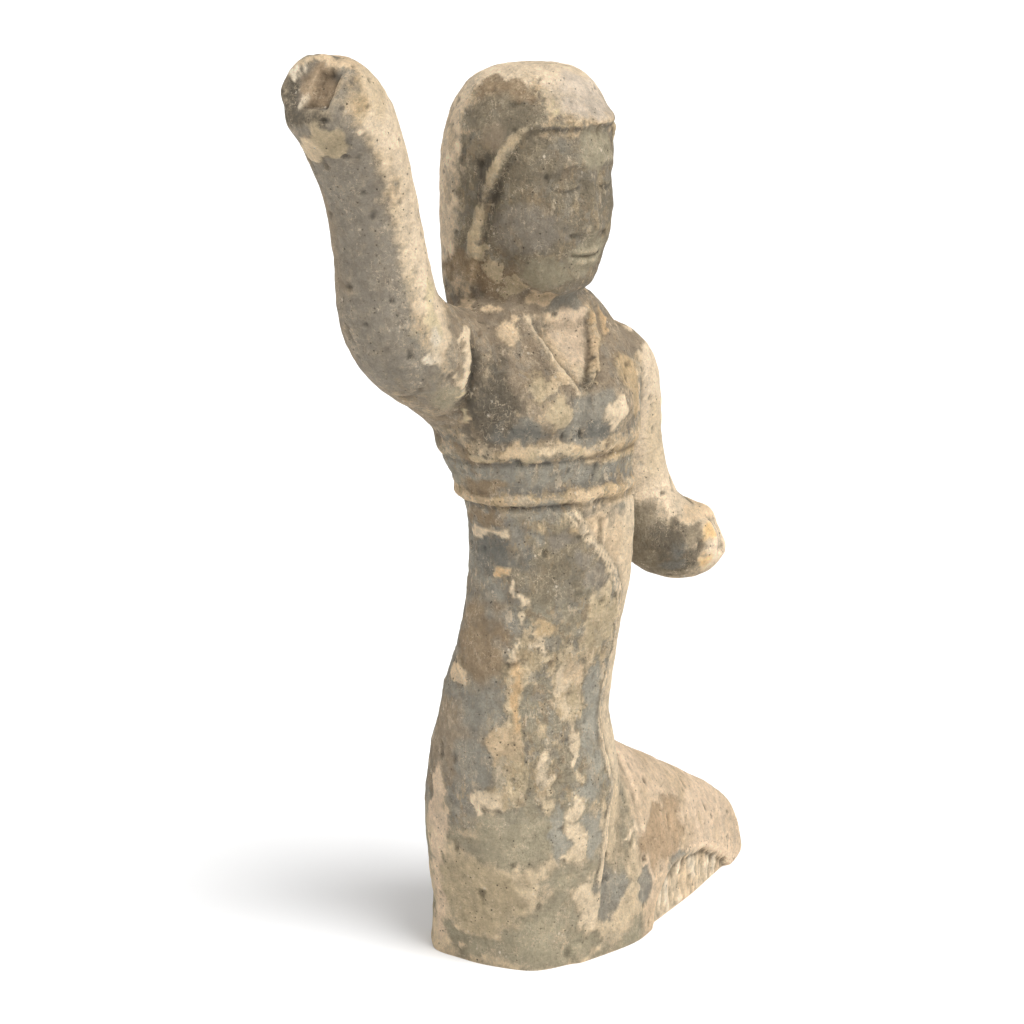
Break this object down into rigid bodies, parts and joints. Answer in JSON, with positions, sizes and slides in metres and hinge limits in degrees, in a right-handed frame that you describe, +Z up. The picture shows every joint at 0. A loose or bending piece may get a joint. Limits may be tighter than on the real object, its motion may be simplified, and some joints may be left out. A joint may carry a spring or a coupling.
{
  "type": "pottery dancer figure",
  "caption": "Kneeling dancer in fired grey pottery, one sleeve raised and one lowered, knees tucked to the side under a wrapped robe; stands on its flat underside.",
  "frame": {"origin": "on the plane of the flat underside, below the middle of the whole form's box", "axes": "+Z up, the figure faces -Y, +X is the figure's left, where its knees point"},
  "size_m": [0.2584, 0.081, 0.3403],
  "materials": {
    "grey_pottery": "matt, worn grey clay with remains of pale slip and earth"
  },
  "bodies": {
    "root": {"dancer_figure": "grey_pottery"}
  },
  "joints": []
}
